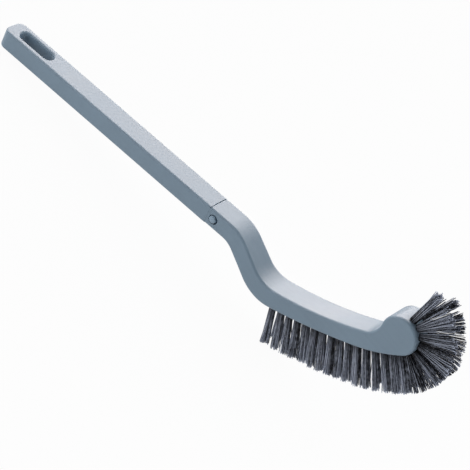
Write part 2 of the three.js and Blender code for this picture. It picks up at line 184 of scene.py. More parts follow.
# Sizes and colours that a user would change


class HandleSettings(bpy.types.PropertyGroup):
    """Sizes of the handle and of the section that it shares with the head"""

    length: FloatProperty(name="Length", description="Free end to seam", default=186 * MM, unit="LENGTH")
    width: FloatProperty(name="Width", description="Width of the section", default=17.6 * MM, unit="LENGTH")
    depth: FloatProperty(name="Depth", description="Depth of the section", default=12.8 * MM, unit="LENGTH")
    edge_round: FloatProperty(
        name="Edge round", description="Radius of the long edges", default=1.6 * MM, unit="LENGTH"
    )
    low_round: FloatProperty(
        name="Low round", description="Radius of the bristle side's edges", default=0.8 * MM, unit="LENGTH"
    )
    end_round: FloatProperty(
        name="End round", description="Radius of the end's corners", default=5.5 * MM, unit="LENGTH"
    )
    slot_length: FloatProperty(
        name="Slot length", description="Length of the hang slot", default=28 * MM, unit="LENGTH"
    )
    slot_width: FloatProperty(
        name="Slot width", description="Width of the hang slot", default=8.6 * MM, unit="LENGTH"
    )
    slot_from_end: FloatProperty(
        name="Slot from end", description="Wall left past the slot", default=9 * MM, unit="LENGTH"
    )
    slot_rim: FloatProperty(
        name="Slot rim", description="Radius of the slot's rim", default=1.7 * MM, unit="LENGTH"
    )
    seam_groove: FloatProperty(
        name="Seam groove", description="Width of the groove at the seam", default=0.5 * MM, unit="LENGTH"
    )


class HeadSettings(bpy.types.PropertyGroup):
    """Sizes of the goose-neck head"""

    knob_radius: FloatProperty(
        name="Knob radius", description="Radius of the end knob", default=13 * MM, unit="LENGTH"
    )
    knob_fillet: FloatProperty(
        name="Knob fillet", description="Radius of the hollow behind the knob", default=15 * MM, unit="LENGTH"
    )
    bed_width: FloatProperty(
        name="Bed width", description="Width of the bristle bed and the knob", default=20 * MM, unit="LENGTH"
    )
    button_hole: FloatProperty(
        name="Button hole", description="Radius of the snap button's hole", default=3.3 * MM, unit="LENGTH"
    )
    tuft_hole: FloatProperty(
        name="Tuft hole", description="Radius of a tuft's hole", default=2.6 * MM, unit="LENGTH"
    )
    tuft_hole_depth: FloatProperty(
        name="Tuft hole depth", description="Depth of a tuft's hole", default=3.2 * MM, unit="LENGTH"
    )


class TuftSettings(bpy.types.PropertyGroup):
    """Sizes and counts of the bristles"""

    row_offset: FloatProperty(
        name="Row offset", description="Rows from the middle", default=4.7 * MM, unit="LENGTH"
    )
    length: FloatProperty(
        name="Bristle length", description="Length out of the bed", default=29 * MM, unit="LENGTH"
    )
    strand_radius: FloatProperty(
        name="Strand radius", description="Radius of one filament", default=0.27 * MM, unit="LENGTH"
    )
    strands: IntProperty(name="Strands", description="Filaments in one tuft", default=58, min=1)
    root_radius: FloatProperty(
        name="Root radius", description="Radius of a tuft at its root", default=2.15 * MM, unit="LENGTH"
    )
    spread: FloatProperty(name="Bed spread", description="Width of the tips over the root's", default=1.3)
    fan_spread: FloatProperty(name="Fan spread", description="The same round the knob", default=3.5)
    last_spread: FloatProperty(name="Last spread", description="The same for a row's last tuft", default=1.25)
    crown: FloatProperty(name="Crown", description="Rounding of a tuft's end over its length", default=0.035)
    fan_crown: FloatProperty(name="Fan crown", description="The same round the knob", default=0.06)
    row_splay: FloatProperty(
        name="Row splay", description="Lean of the rows outwards", default=math.radians(0.3), subtype="ANGLE"
    )
    seed: IntProperty(name="Seed", description="Start of the random draws", default=7)


class FinishSettings(bpy.types.PropertyGroup):
    """Colours of the finishes"""

    plastic: FloatVectorProperty(
        name="Plastic", description="Slate plastic", subtype="COLOR", default=(0.205, 0.284, 0.36)
    )
    bristle_dark: FloatVectorProperty(
        name="Bristle dark", description="Darkest filaments", subtype="COLOR", default=(0.010, 0.011, 0.016)
    )
    bristle_light: FloatVectorProperty(
        name="Bristle light", description="Palest filaments", subtype="COLOR", default=(0.34, 0.37, 0.45)
    )
    steel: FloatVectorProperty(
        name="Steel", description="Spring strip and anchors", subtype="COLOR", default=(0.50, 0.51, 0.53)
    )


class StageSettings(bpy.types.PropertyGroup):
    """Floor, light and camera"""

    floor: FloatVectorProperty(
        name="Floor", description="Floor colour", subtype="COLOR", default=(0.86, 0.86, 0.86)
    )
    softbox: FloatProperty(name="Softbox", description="Lamp past the knob", default=4, unit="POWER")
    fill: FloatProperty(name="Fill", description="Lamp in front of the brush", default=7.5, unit="POWER")
    panel: FloatProperty(name="Panel", description="Lamp that gives the sheen", default=172, unit="POWER")
    sky: FloatProperty(name="Sky", description="Strength of the light from all round", default=0.8)
    front_sky: FloatProperty(name="Front sky", description="Share of it round the camera", default=0.15)
    floor_white: FloatProperty(
        name="Floor white", description="Share of plain white in the floor that is seen", default=0.95
    )
    lens: FloatProperty(name="Lens", description="Focal length of the camera in millimetres", default=220.6)


# Modelling helpers


def only(obj):
    """Makes obj the one object that is selected and active."""
    bpy.ops.object.select_all(action="DESELECT")
    obj.select_set(True)
    bpy.context.view_layer.objects.active = obj


def edit(obj, mode="VERT"):
    """Opens obj in edit mode."""
    only(obj)
    bpy.ops.object.mode_set(mode="EDIT")
    bpy.ops.mesh.select_mode(type=mode)


def leave():
    """Goes back to object mode."""
    bpy.ops.object.mode_set(mode="OBJECT")


def fix_place(obj):
    """Moves an object's place, turn and size into its mesh."""
    only(obj)
    bpy.ops.object.transform_apply(location=True, rotation=True, scale=True)


def pick(obj, kind, test):
    """Selects the points or edges that pass a test, and no others, and says how many."""
    bpy.ops.mesh.select_all(action="DESELECT")
    shape = bmesh.from_edit_mesh(obj.data)
    found = [each for each in getattr(shape, kind) if test(each)]
    for each in found:
        each.select_set(True)
    shape.select_flush_mode()
    bmesh.update_edit_mesh(obj.data)
    return len(found)


def round_edges(obj, test, radius, steps, clamp=True):
    """Rounds the edges that a test on their ends picks."""
    edit(obj, "EDGE")
    if not pick(obj, "edges", lambda edge: test(edge.verts[0].co, edge.verts[1].co)):
        raise RuntimeError(f"{obj.name}: no edge was found to round")
    bpy.ops.mesh.bevel(offset=radius, segments=steps, profile=0.5, affect="EDGES", clamp_overlap=clamp)
    leave()


def new_block(name, size, centre):
    """A block of a size at a place, with its place in its mesh."""
    bpy.ops.mesh.primitive_cube_add(size=1, location=centre, scale=size)
    block = bpy.context.active_object
    block.name = name
    fix_place(block)
    return block


def new_bar(name, size, centre, corner, steps, axis="x"):
    """A block with its edges along one axis rounded."""
    bar = new_block(name, size, centre)
    round_edges(bar, lambda a, b: abs(getattr((a - b).normalized(), axis)) > PARALLEL, corner, steps)
    return bar


def plug_bar(name, size):
    """A bar for the plug or for its socket, which starts behind the seam."""
    middle = -bpy.context.scene.brush_handle.depth / 2
    longer = (size.x + OVERRUN, size.y, size.z)
    centre = ((size.x - OVERRUN) / 2, 0, middle)
    return new_bar(name, longer, centre, PLUG_CORNER, ROUND_STEPS["corner"])


def button_way(x, radius, sides):
    """A rod for the button's hole, from outside the right face to the middle."""
    handle = bpy.context.scene.brush_handle
    length = handle.width / 2 + OVERRUN
    bpy.ops.mesh.primitive_cylinder_add(
        vertices=sides,
        radius=radius,
        depth=length,
        location=(x, -length / 2, -handle.depth / 2),
        rotation=(math.pi / 2, 0, 0),
    )
    rod = bpy.context.active_object
    fix_place(rod)
    return rod


def apply_modifier(obj, kind, **values):
    """Adds a modifier, sets it and applies it."""
    modifier = obj.modifiers.new(kind.title(), kind)
    for key, value in values.items():
        setattr(modifier, key, value)
    only(obj)
    bpy.ops.object.modifier_apply(modifier=modifier.name)


def combine(obj, tool, operation):
    """Cuts or joins obj with a tool, which is used up."""
    apply_modifier(obj, "BOOLEAN", object=tool, operation=operation, solver="EXACT")
    bpy.data.objects.remove(tool, do_unlink=True)


def clean(obj):
    """Merges doubles and turns the faces outwards."""
    edit(obj)
    bpy.ops.mesh.select_all(action="SELECT")
    bpy.ops.mesh.remove_doubles(threshold=TOUCH / 2)
    bpy.ops.mesh.normals_make_consistent(inside=False)
    leave()


def copy_in(model, place):
    """A copy of a model, with a mesh of its own, at a place."""
    made = model.copy()
    made.data = model.data.copy()
    made.data.transform(place)
    bpy.context.collection.objects.link(made)
    return made


def join_all(pieces):
    """Joins pieces into the first of them."""
    only(pieces[0])
    for piece in pieces:
        piece.select_set(True)
    bpy.ops.object.join()
    return pieces[0]


def start_line(name, x, y, z):
    """A new mesh of one selected point, left open in edit mode."""
    bpy.ops.mesh.primitive_plane_add(size=MM)
    line = bpy.context.active_object
    line.name = name
    edit(line)
    bpy.ops.mesh.select_all(action="SELECT")
    bpy.ops.mesh.merge(type="CENTER")
    bpy.ops.transform.translate(value=(x, y, z))
    return line


def pull(x, y, z):
    """Extrudes what is selected."""
    bpy.ops.mesh.extrude_region_move(TRANSFORM_OT_translate={"value": (x, y, z)})


# A place on a track is x, z and heading; a stretch is a length, or a radius with a turn in degrees


def step_on(place, length, radius, turn):
    """The place at the end of a stretch."""
    x, z, heading = place
    if not radius:
        return x + length * math.cos(heading), z + length * math.sin(heading), heading
    angle = math.radians(turn)
    chord = 2 * radius * math.sin(abs(angle) / 2)
    aim = heading + angle / 2
    return x + chord * math.cos(aim), z + chord * math.sin(aim), heading + angle


def beside(place, offset):
    """The point beside a place, to the left of its heading."""
    x, z, heading = place
    return Vector((x - offset * math.sin(heading), z + offset * math.cos(heading)))


def draw(place, y, stretches, arc_step):
    """Extrudes the selected point along straight and round stretches, and gives the last place."""
    for length, radius, turn in stretches:
        following = step_on(place, length, radius, turn)
        if radius:
            centre = beside(place, math.copysign(radius, turn))
            bpy.ops.mesh.spin(
                steps=max(2, math.ceil(abs(turn) / arc_step)),
                angle=math.radians(turn),
                center=(centre.x, y, centre.y),
                axis=(0, 1, 0),
            )
        else:
            pull(following[0] - place[0], 0, following[1] - place[1])
        place = following
    return place


def angle_of(start, end):
    """Angle of the way from one point to another."""
    return math.atan2(end.y - start.y, end.x - start.x)


def crossing(first, first_radius, second, second_radius):
    """The crossing of two circles to the left of the way from the first to the second."""
    way = second - first
    distance = way.length
    forward = (distance**2 + first_radius**2 - second_radius**2) / (2 * distance)
    aside = math.sqrt(first_radius**2 - forward**2)
    way.normalize()
    return first + way * forward + Vector((-way.y, way.x)) * aside


def bristle_track():
    """Stretches of the bristle edge and the knob, with their starts and distances."""
    depth = bpy.context.scene.brush_handle.depth
    knob = bpy.context.scene.brush_head.knob_radius
    place, distance, track = (0.0, -depth, 0.0), 0.0, []
    for length, radius, turn in (*BRISTLE_EDGE, (0, knob, 180)):
        track.append((distance, place, length, radius, turn))
        distance += length if not radius else radius * math.radians(abs(turn))
        place = step_on(place, length, radius, turn)
    return track


def place_on(track, distance):
    """The place at a distance along the bristle track."""
    start, place, _, radius, turn = [s for s in track if s[0] <= distance][-1]
    run = distance - start
    if not radius:
        return step_on(place, run, 0, 0)
    return step_on(place, 0, radius, math.copysign(math.degrees(run / radius), turn))


def fan_length(angle, knob_radius):
    """Length of a bristle from the knob out to the circle that the fan is cut to."""
    out = Vector((math.cos(angle), math.sin(angle)))
    root = out * knob_radius - TRIM_OFFSET
    along = root.dot(out)
    return math.sqrt(along**2 - root.length_squared + TRIM_RADIUS**2) - along


def tuft_frames(side):
    """Root, directions, lean, length and spread of every tuft of one side, for the bed and the fan."""
    track = bristle_track()
    tufts = bpy.context.scene.brush_tufts
    y = ROW_SIDE[side] * tufts.row_offset
    bed_start = track[NECK_STRETCHES][0]
    knob_start, knob_place, _, knob_radius, _ = track[-1]
    places = {"bed": [], "fan": []}
    for i in range(BED_TUFTS[side]):
        lean = HEEL_LEAN * max(0, 1 - i / HEEL_LEAN_TUFTS)
        taper = TAPER_STEP * max(0, i + 1 + TAPER_TUFTS - BED_TUFTS["right"])
        trim = taper if i else HEEL_TRIM[side]
        distance = bed_start + FIRST_TUFT[side] + i * BED_PITCH
        places["bed"].append((distance, lean, tufts.length - trim, tufts.spread))
    for i in range(FAN_TUFTS):
        angle = math.radians(FAN_START[side] + i * FAN_PITCH)
        distance = knob_start + (angle + math.pi / 2 - knob_place[2]) * knob_radius
        last = i == FAN_TUFTS - 1
        lean, spread = (LAST_LEAN[side], tufts.last_spread) if last else (0, tufts.fan_spread)
        places["fan"].append((distance, lean, fan_length(angle, knob_radius), spread))
    frames = {}
    for part, found in places.items():
        frames[part] = []
        for distance, lean, length, spread in found:
            x, z, heading = place_on(track, distance)
            row = Vector((math.cos(heading), 0, math.sin(heading)))
            out = Vector((math.sin(heading), 0, -math.cos(heading)))
            frames[part].append((Vector((x, y, z)), row, out, math.radians(lean), length, spread))
    return frames


def width_at(x):
    """Width of the head at a value of x."""
    narrow, wide = bpy.context.scene.brush_handle.width, bpy.context.scene.brush_head.bed_width
    share = min(1, max(0, (x - FLARE_START) / (FLARE_END - FLARE_START)))
    return narrow + (wide - narrow) * share**2 * (3 - 2 * share)


def settle(obj, body, nodes, material, smooth_angle=SMOOTH_ANGLE, weighted=True):
    """Lays a finished piece down, shades it, gives it its finish and hands it to its body."""
    obj.matrix_world = LAY
    fix_place(obj)
    bpy.ops.object.shade_smooth_by_angle(angle=smooth_angle)
    if weighted:
        apply_modifier(obj, "WEIGHTED_NORMAL", mode="FACE_AREA", weight=NORMAL_WEIGHT, keep_sharp=True)
    obj.data.materials.clear()
    obj.data.materials.append(material)
    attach(obj, body)
    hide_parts(*nodes)


# Finishes


def adder(tree):
    """A function that adds a node to a tree, with inputs that are linked or set to a value."""

    def add(kind, inputs=None, **settings):
        node = tree.nodes.new(kind)
        for key, value in settings.items():
            setattr(node, key, value)
        for key, value in (inputs or {}).items():
            if isinstance(value, bpy.types.NodeSocket):
                tree.links.new(value, node.inputs[key])
            else:
                node.inputs[key].default_value = value
        return node

    return add


def new_finish(name, values):
    """A material with values for its shader, and functions that add a node and join one to the shader."""
    material = bpy.data.materials.new(name)
    material.use_nodes = True
    tree = material.node_tree
    shader = tree.nodes["Principled BSDF"]
    for key, value in values.items():
        shader.inputs[key].default_value = value

    def join(output, socket):
        tree.links.new(output, shader.inputs[socket])

    return material, adder(tree), join


def noise(add, place, **values):
    """A noise over a place."""
    return add("ShaderNodeTexNoise", {"Vector": place, **values}).outputs["Fac"]


def stretched(add, place, scale):
    """A place drawn out by different amounts along the axes."""
    return add("ShaderNodeMapping", {"Vector": place, "Scale": scale}).outputs["Vector"]


def ramp(add, value, low, high, low_colour, high_colour):
    """Two colours spread over a range of a value."""
    node = add("ShaderNodeValToRGB", {"Fac": value})
    node.color_ramp.elements[0].position = low
    node.color_ramp.elements[1].position = high
    node.color_ramp.elements[0].color = (*low_colour, 1)
    node.color_ramp.elements[1].color = (*high_colour, 1)
    return node.outputs["Color"]


def multiply(add, first, second):
    """Two colours multiplied."""
    inputs = {"Factor": 1.0, "A": first, "B": second}
    return add("ShaderNodeMix", inputs, data_type="RGBA", blend_type="MULTIPLY").outputs["Result"]


def spread_out(add, value, limits, results, **settings):
    """A value between two limits, spread out between two results."""
    names = ("From Min", "From Max", "To Min", "To Max")
    inputs = {"Value": value, **dict(zip(names, (*limits, *results)))}
    return add("ShaderNodeMapRange", inputs, **settings).outputs["Result"]


def relief(add, height, strength, distance):
    """Fine relief that follows a value."""
    inputs = {"Height": height, "Strength": strength, "Distance": distance}
    return add("ShaderNodeBump", inputs).outputs["Normal"]


def grey(level):
    """A grey of one level."""
    return (level, level, level)


def shade(colour, factor):
    """A colour made darker or paler."""
    return tuple(min(1.0, channel * factor) for channel in colour)


def slate_plastic(name="slate_plastic", paler=1.0, rough=0.36):
    """Satin moulded plastic with faint flow marks, a fine spark grain and small changes of gloss."""
    made = bpy.data.materials.get(name)
    if made:
        return made
    colour = shade(bpy.context.scene.brush_finish.plastic, paler)
    material, add, join = new_finish(name, {"IOR": 1.49})
    place = add("ShaderNodeTexCoord").outputs["Object"]
    cloud = noise(add, place, Scale=26.0, Detail=3.0, Roughness=0.55)
    streak = noise(add, stretched(add, place, (30.0, 420.0, 420.0)), Scale=1.0, Detail=2.0)
    grain = noise(add, place, Scale=2300.0, Detail=2.0, Roughness=0.6)
    mottled = ramp(add, cloud, 0.3, 0.7, shade(colour, 0.95), shade(colour, 1.05))
    flowed = ramp(add, streak, 0.35, 0.65, (0.965, 0.965, 0.97), grey(1.0))
    speck = ramp(add, grain, 0.35, 0.65, (0.96, 0.96, 0.965), grey(1.0))
    join(multiply(add, multiply(add, mottled, flowed), speck), "Base Color")
    join(spread_out(add, cloud, (0.3, 0.7), (rough, rough + 0.08)), "Roughness")
    join(relief(add, grain, 0.25, 0.04 * MM), "Normal")
    return material


def charcoal_nylon():
    """Nylon filament that differs from strand to strand, with painted shade towards the root and at tufts' edges,
    and paler at the cut tip.
    """
    made = bpy.data.materials.get("charcoal_nylon")
    if made:
        return made
    finish = bpy.context.scene.brush_finish
    material, add, join = new_finish("charcoal_nylon", {"IOR": 1.53, "Specular IOR Level": 0.25})
    tone = add("ShaderNodeAttribute", attribute_name="strand_tone").outputs["Fac"]
    along = add("ShaderNodeAttribute", attribute_name="strand_along").outputs["Fac"]
    fleck = noise(add, add("ShaderNodeTexCoord").outputs["Object"], Scale=420.0, Detail=2.0)
    mixed = add("ShaderNodeMath", {0: tone, 1: 0.8, 2: fleck}, operation="MULTIPLY_ADD").outputs["Value"]
    body = ramp(add, mixed, 0.5, 1.0, finish.bristle_dark, finish.bristle_light)
    # Painted shade: filaments are darkened towards the root, where the tuft shades itself
    root = ramp(add, along, 0.08, 0.5, grey(0.25), grey(1.1))
    tip = ramp(add, along, 0.94, 1.0, grey(1.0), grey(1.5))
    join(multiply(add, multiply(add, body, root), tip), "Base Color")
    join(spread_out(add, fleck, (0, 1), (0.24, 0.40)), "Roughness")
    join(relief(add, fleck, 0.2, 0.05 * MM), "Normal")
    return material


def spring_steel():
    """Rolled steel strip with fine draw lines."""
    made = bpy.data.materials.get("spring_steel")
    if made:
        return made
    colour = bpy.context.scene.brush_finish.steel
    material, add, join = new_finish("spring_steel", {"Metallic": 1.0})
    place = add("ShaderNodeTexCoord").outputs["Object"]
    lines = noise(add, stretched(add, place, (90.0, 90.0, 2600.0)), Scale=1.0, Detail=3.0)
    join(ramp(add, lines, 0.3, 0.7, shade(colour, 0.85), shade(colour, 1.1)), "Base Color")
    join(spread_out(add, lines, (0, 1), (0.24, 0.42)), "Roughness")
    join(relief(add, lines, 0.15, 0.03 * MM), "Normal")
    return material


# Pieces


class MakeHandle(bpy.types.Operator):
    """Model the handle: a rounded bar with its hang slot and the hollow plug that goes into the head"""

    bl_idname = "toilet_brush.make_handle"
    bl_label = "Handle"

    def bar(self, sizes):
        """The bar with its end and its long edges rounded."""
        size = (sizes.length, sizes.width, sizes.depth)
        bar = new_block("handle_moulding", size, (-sizes.length / 2, 0, -sizes.depth / 2))
        far_end = -sizes.length + TOUCH

        def on_end(a, b):
            return a.x < far_end and b.x < far_end and abs(a.y - b.y) < TOUCH

        def on_rim(a, b, level):
            at_seam = abs(a.x) < TOUCH and abs(b.x) < TOUCH
            return abs(a.z - level) < TOUCH and abs(b.z - level) < TOUCH and not at_seam

        round_edges(bar, on_end, sizes.end_round, ROUND_STEPS["end"])
        round_edges(bar, lambda a, b: on_rim(a, b, 0), sizes.edge_round, ROUND_STEPS["back"])
        round_edges(bar, lambda a, b: on_rim(a, b, -sizes.depth), sizes.low_round, ROUND_STEPS["low"])
        return bar

    def add_plug(self, sizes, bar):
        """Joins the plug on, and cuts the hollow through it and the button's way."""
        combine(bar, plug_bar("plug", PLUG), "UNION")
        centre = (PLUG.x + OVERRUN - CORE.x / 2, 0, -sizes.depth / 2)
        combine(bar, new_bar("core", CORE, centre, CORE_CORNER, ROUND_STEPS["fine"]), "DIFFERENCE")
        combine(bar, button_way(BUTTON_X, PLUG_HOLE, ROUND_SIDES["button"]), "DIFFERENCE")

    def cut_slot(self, sizes, bar):
        """Cuts the hang slot and rounds its rim on both faces."""
        middle = -sizes.length + sizes.slot_from_end + sizes.slot_length / 2
        size = (sizes.slot_length, sizes.slot_width, sizes.depth + 4 * OVERRUN)
        centre = (middle, 0, -sizes.depth / 2)
        slot = new_bar("slot", size, centre, sizes.slot_width / 2, ROUND_STEPS["slot"], "z")
        clean(slot)
        combine(bar, slot, "DIFFERENCE")
        clean(bar)
        reach = (sizes.slot_length / 2 + TOUCH, sizes.slot_width / 2 + TOUCH)

        def on_slot(p):
            face = abs(p.z) < TOUCH or abs(p.z + sizes.depth) < TOUCH
            return face and abs(p.x - middle) < reach[0] and abs(p.y) < reach[1]

        def on_rim(a, b):
            return on_slot(a) and on_slot(b) and abs(a.z - b.z) < TOUCH

        round_edges(bar, on_rim, sizes.slot_rim, ROUND_STEPS["rim"], clamp=False)

    def cut_ends(self, sizes, bar):
        """Cuts the groove across the back at the seam, and the other end flush with the floor."""
        groove = (2 * sizes.seam_groove, sizes.width + OVERRUN, 2 * GROOVE_DEPTH)
        combine(bar, new_block("groove", groove, (0, 0, 0)), "DIFFERENCE")
        below = (sizes.length, 2 * sizes.width, sizes.depth)
        under = new_block("under", below, (-sizes.length, 0, TOUCH - sizes.depth / 2))
        under.matrix_world = LAY.inverted()
        fix_place(under)
        combine(bar, under, "DIFFERENCE")
        clean(bar)

    def execute(self, context):
        sizes = context.scene.brush_handle
        bar = self.bar(sizes)
        self.add_plug(sizes, bar)
        self.cut_slot(sizes, bar)
        self.cut_ends(sizes, bar)
        settle(bar, "handle", ["handle_grip"], slate_plastic())
        return {"FINISHED"}


class MakeHead(bpy.types.Operator):
    """Model the head: goose neck, bristle bed and knob, with its socket, button hole and tuft holes"""

    bl_idname = "toilet_brush.make_head"
    bl_label = "Head"

    def outline(self, context):
        """Traces the side view along the back, round the knob and along the bristle edge to the seam."""
        sizes, head = context.scene.brush_handle, context.scene.brush_head
        side = -sizes.width / 2
        body = start_line("head_moulding", SEAM_GAP, side, 0)
        first = (BACK_EDGE[0][0] - SEAM_GAP, 0, 0)
        place = draw((SEAM_GAP, 0.0, 0.0), side, (first, *BACK_EDGE[1:]), ARC_STEP["neck"])
        knob_end = bristle_track()[-1][1]
        knob = beside(knob_end, head.knob_radius)
        bed = beside(place, BACK_BED_RADIUS)
        fillet = crossing(knob, head.knob_radius + head.knob_fillet, bed, BACK_BED_RADIUS - head.knob_fillet)
        from_bed, to_knob = angle_of(bed, fillet), angle_of(fillet, knob)
        bed_turn = math.degrees(from_bed + math.pi / 2 - place[2])
        fillet_turn = math.degrees(to_knob - from_bed)
        knob_turn = math.degrees(knob_end[2] - math.pi / 2 - to_knob - math.pi)
        place = draw(place, side, ((0, BACK_BED_RADIUS, bed_turn),), ARC_STEP["back_bed"])
        place = draw(place, side, ((0, head.knob_fillet, fillet_turn),), ARC_STEP["fillet"])
        place = draw(place, side, ((0, head.knob_radius, knob_turn),), ARC_STEP["knob"])
        heading = place[2] - 2 * math.pi * round((place[2] - knob_end[2] - math.pi) / (2 * math.pi))
        back = [(length, radius, -turn) for length, radius, turn in reversed(BRISTLE_EDGE)]
        back[-1] = (back[-1][0] - SEAM_GAP, 0, 0)
        bed_stretches = len(BRISTLE_EDGE) - NECK_STRETCHES
        place = draw((place[0], place[1], heading), side, back[:bed_stretches], ARC_STEP["bristle_bed"])
        place = draw(place, side, back[bed_stretches:], ARC_STEP["neck"])
        if abs(place[0] - SEAM_GAP) > TOUCH or abs(place[1] + sizes.depth) > TOUCH:
            raise RuntimeError(f"the head's outline doesn't close: {place}")
        bpy.ops.mesh.select_all(action="SELECT")
        bpy.ops.mesh.edge_face_add()
        pull(0, sizes.width, 0)
        leave()
        clean(body)
        return body

    def flare(self, context, body):
        """Cuts the neck across and widens it, place by place, to the width of the bed."""
        narrow = context.scene.brush_handle.width
        edit(body)
        for i in range(FLARE_CUTS + 1):
            x = FLARE_START + (FLARE_END - FLARE_START) * i / FLARE_CUTS
            bpy.ops.mesh.select_all(action="SELECT")
            bpy.ops.mesh.bisect(plane_co=(x, 0, 0), plane_no=(1, 0, 0))

        def place_of(point):
            return round(min(point.co.x, FLARE_END), 6)

        places = {place_of(point) for point in bmesh.from_edit_mesh(body.data).verts}
        for place in sorted(p for p in places if p > FLARE_START):
            pick(body, "verts", lambda point: place_of(point) == place)
            bpy.ops.transform.resize(value=(1, width_at(place) / narrow, 1), center_override=(place, 0, 0))
        leave()

    def tuft_drills(self, context):
        """One tapered drill, copied to every tuft."""
        head = context.scene.brush_head
        depth = head.tuft_hole_depth + OVERRUN
        bpy.ops.mesh.primitive_cone_add(
            vertices=ROUND_SIDES["tuft_hole"],
            radius1=head.tuft_hole * DRILL_TAPER[0],
            radius2=head.tuft_hole * DRILL_TAPER[1],
            depth=depth,
            location=(0, 0, depth / 2 - head.tuft_hole_depth),
        )
        model = context.active_object
        fix_place(model)
        drills = []
        for side in ROW_SIDE:
            for root, row, out, *_ in sum(tuft_frames(side).values(), []):
                drills.append(copy_in(model, frame_at(root, row, out.cross(row), out)))
        bpy.data.objects.remove(model, do_unlink=True)
        return join_all(drills)

    def execute(self, context):
        sizes, head = context.scene.brush_handle, context.scene.brush_head
        middle, half = -sizes.depth / 2, sizes.width / 2
        body = self.outline(context)

        def on_side_rim(a, b):
            side = abs(a.y - b.y) < TOUCH and abs(abs(a.y) - half) < TOUCH
            return side and not (abs(a.x - SEAM_GAP) < TOUCH and abs(b.x - SEAM_GAP) < TOUCH)

        def on_hole(p):
            away = math.hypot(p.x - HEAD_HOLE_X, p.z - middle)
            return abs(p.y + half) < TOUCH and abs(away - head.button_hole) < 5 * TOUCH

        round_edges(body, on_side_rim, sizes.edge_round, ROUND_STEPS["head"])
        self.flare(context, body)
        combine(body, plug_bar("socket", SOCKET), "DIFFERENCE")
        combine(body, button_way(HEAD_HOLE_X, head.button_hole, ROUND_SIDES["head_hole"]), "DIFFERENCE")
        combine(body, self.tuft_drills(context), "DIFFERENCE")
        clean(body)
        round_edges(body, lambda a, b: on_hole(a) and on_hole(b), HEAD_HOLE_EDGE, ROUND_STEPS["fine"])
        clean(body)
        settle(body, "brush_head", ["head_body"], slate_plastic())
        return {"FINISHED"}


class MakeButton(bpy.types.Operator):
    """Model the snap button: a domed barrel on a flange that stays inside the plug"""

    bl_idname = "toilet_brush.make_button"
    bl_label = "Snap button"

    def execute(self, context):
        middle = -context.scene.brush_handle.depth / 2
        button = start_line("button_cap", BUTTON_X, BUTTON_FACE, middle)
        for out, inwards in (*BUTTON_DOME, *BUTTON_BARREL):
            pull(out * MM, inwards * MM, 0)
        bpy.ops.mesh.select_all(action="SELECT")
        bpy.ops.mesh.spin(
            steps=ROUND_SIDES["button"], angle=2 * math.pi, center=(BUTTON_X, 0, middle), axis=(0, 1, 0)
        )
        leave()
        clean(button)
        flange = new_block("flange", FLANGE, (BUTTON_X, BUTTON_BACK - FLANGE.y / 2, middle))
        round_edges(flange, lambda a, b: abs(a.y - b.y) > TOUCH, FLANGE_CORNER, ROUND_STEPS["corner"])
        combine(button, flange, "UNION")
        clean(button)
        # Painted highlight: the button's plastic is the slate made paler, for the light the domed button catches;
        # its lower roughness gives it more gloss
        finish = slate_plastic("button_plastic", paler=1.3, rough=0.2)
        settle(button, "button", ["snap_button"], finish)
        return {"FINISHED"}


class MakeClip(bpy.types.Operator):
    """Model the spring clip: a strip bent to a V behind the button, which closes as the button goes in"""

    bl_idname = "toilet_brush.make_clip"
    bl_label = "Spring clip"

    def execute(self, context):
        low = -context.scene.brush_handle.depth / 2 - CLIP_HEIGHT / 2
        rise = (CLIP_FAR - CLIP_NEAR) / 2
        slope = math.asin(rise / math.hypot(CLIP_LEG, CLIP_BEND)) - math.atan2(CLIP_BEND, CLIP_LEG)
        start = Vector((CLIP_START_X, CLIP_NEAR, low))
        leg = CLIP_LEG * Vector((math.cos(slope), math.sin(slope), 0))
        bow = start + leg + CLIP_BEND * Vector((-math.sin(slope), math.cos(slope), 0))
        clip = start_line("clip_spring", *start)
        pull(*leg)
        bpy.ops.mesh.spin(steps=CLIP_STEPS, angle=math.pi - 2 * slope, center=bow, axis=(0, 0, -1))
        pull(-leg.x, leg.y, 0)
        bpy.ops.mesh.select_all(action="SELECT")
        pull(0, 0, CLIP_HEIGHT)
        leave()
        apply_modifier(clip, "SOLIDIFY", thickness=CLIP_STRIP, offset=0)
        apply_modifier(clip, "BEVEL", width=CLIP_EDGE, segments=2, limit_method="ANGLE")
        clean(clip)
        settle(clip, "handle", ["button_spring"], spring_steel())
        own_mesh(clip)
        return {"FINISHED"}


